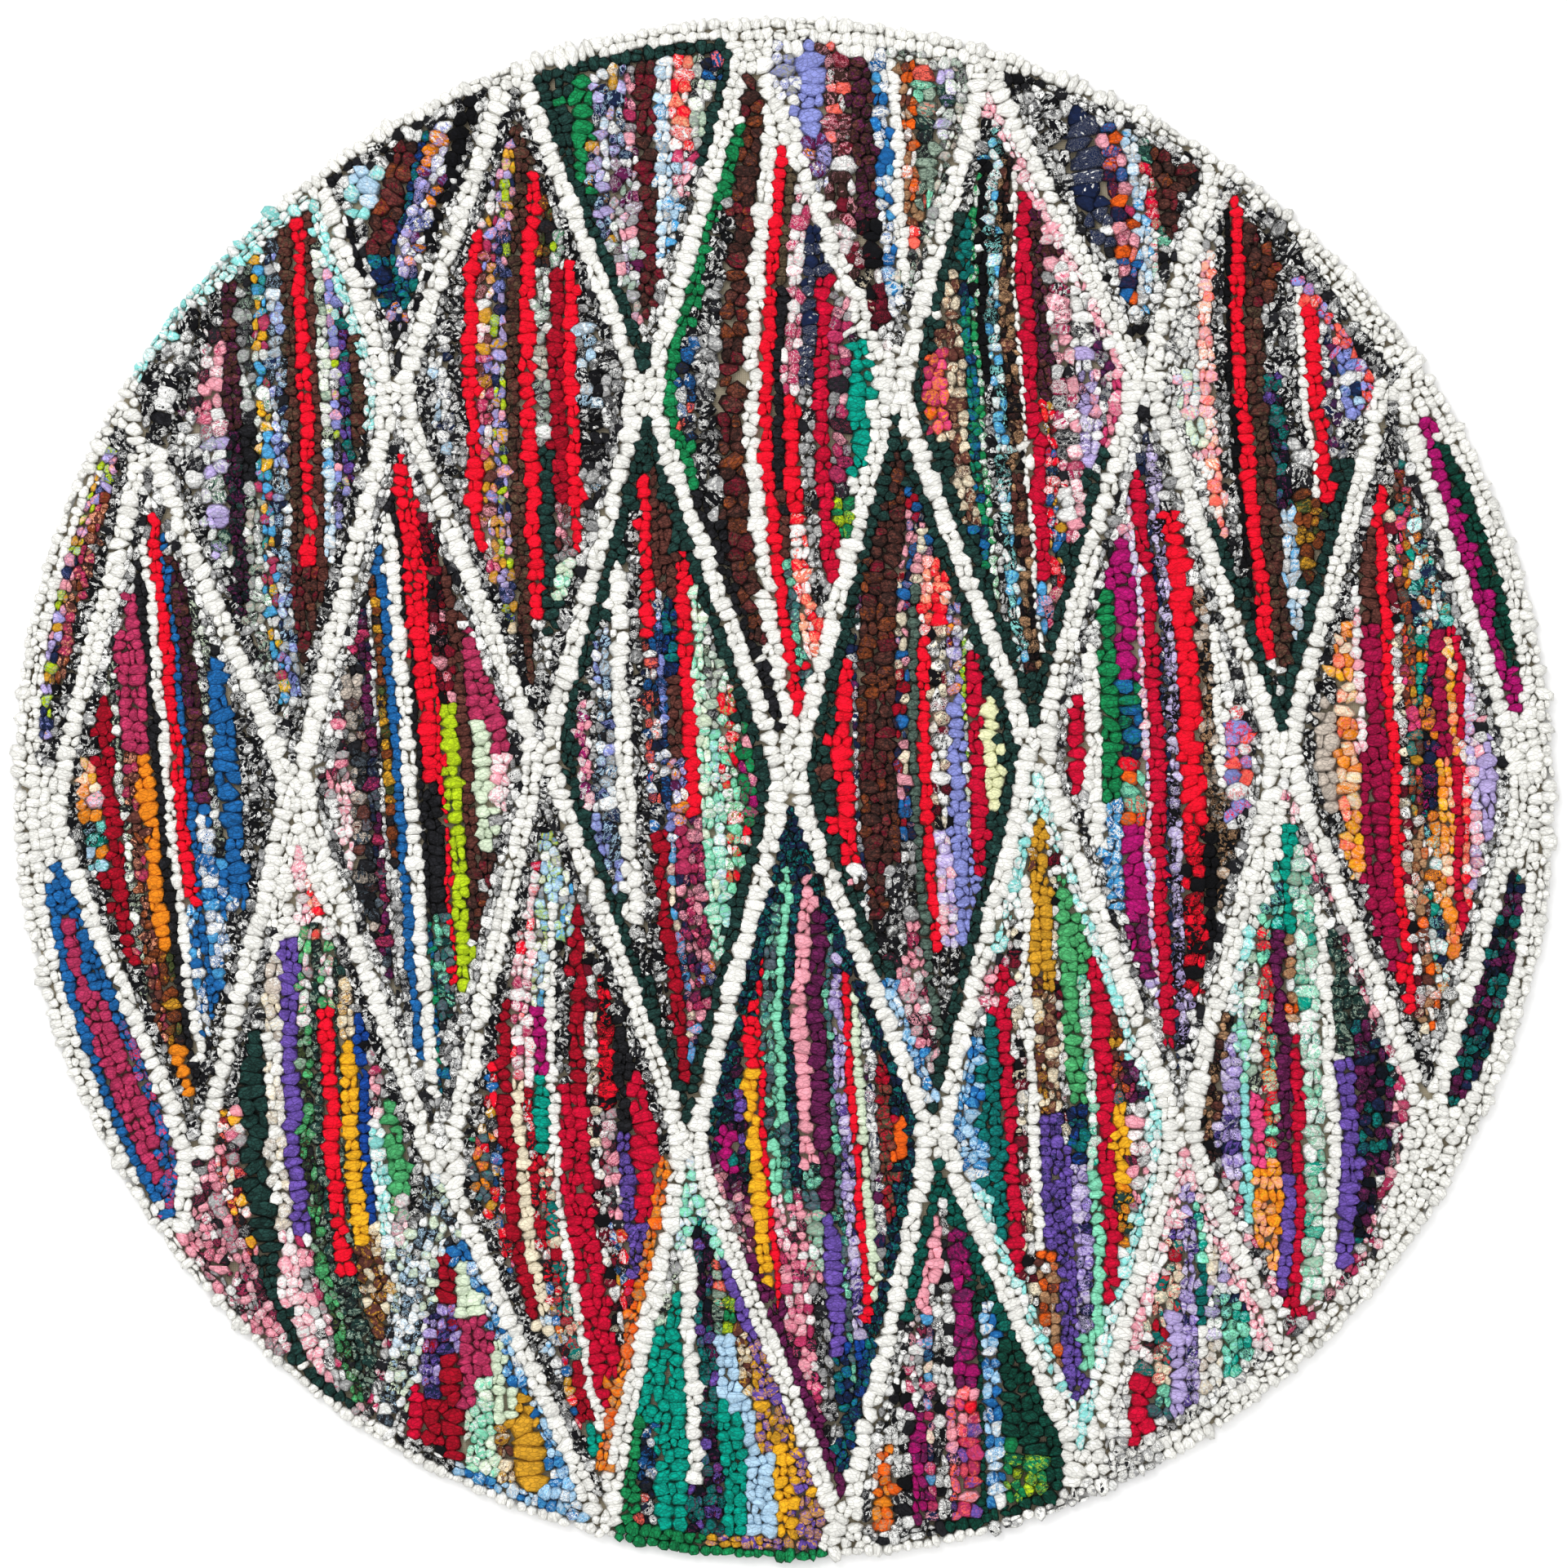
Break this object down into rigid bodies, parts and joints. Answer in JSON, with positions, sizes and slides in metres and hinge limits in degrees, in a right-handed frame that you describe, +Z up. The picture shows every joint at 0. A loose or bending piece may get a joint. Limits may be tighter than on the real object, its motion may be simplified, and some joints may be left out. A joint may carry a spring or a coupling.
{
  "type": "hand-tufted round rug",
  "caption": "Flat round rag-loop rug with a trellis of tall diamonds filled with striped rows of loops, flat underneath.",
  "frame": {"origin": "centre of the round underside, on the floor", "axes": "+Z up out of the pile; +Y along the long axis of the diamonds, towards the top of the pattern; +X to its right"},
  "size_m": [1.2192, 1.2186, 0.0129],
  "materials": {
    "rag_loops": "matt looped pile of cut cotton rag strips"
  },
  "bodies": {
    "root": {"rug": "rag_loops"}
  },
  "joints": []
}
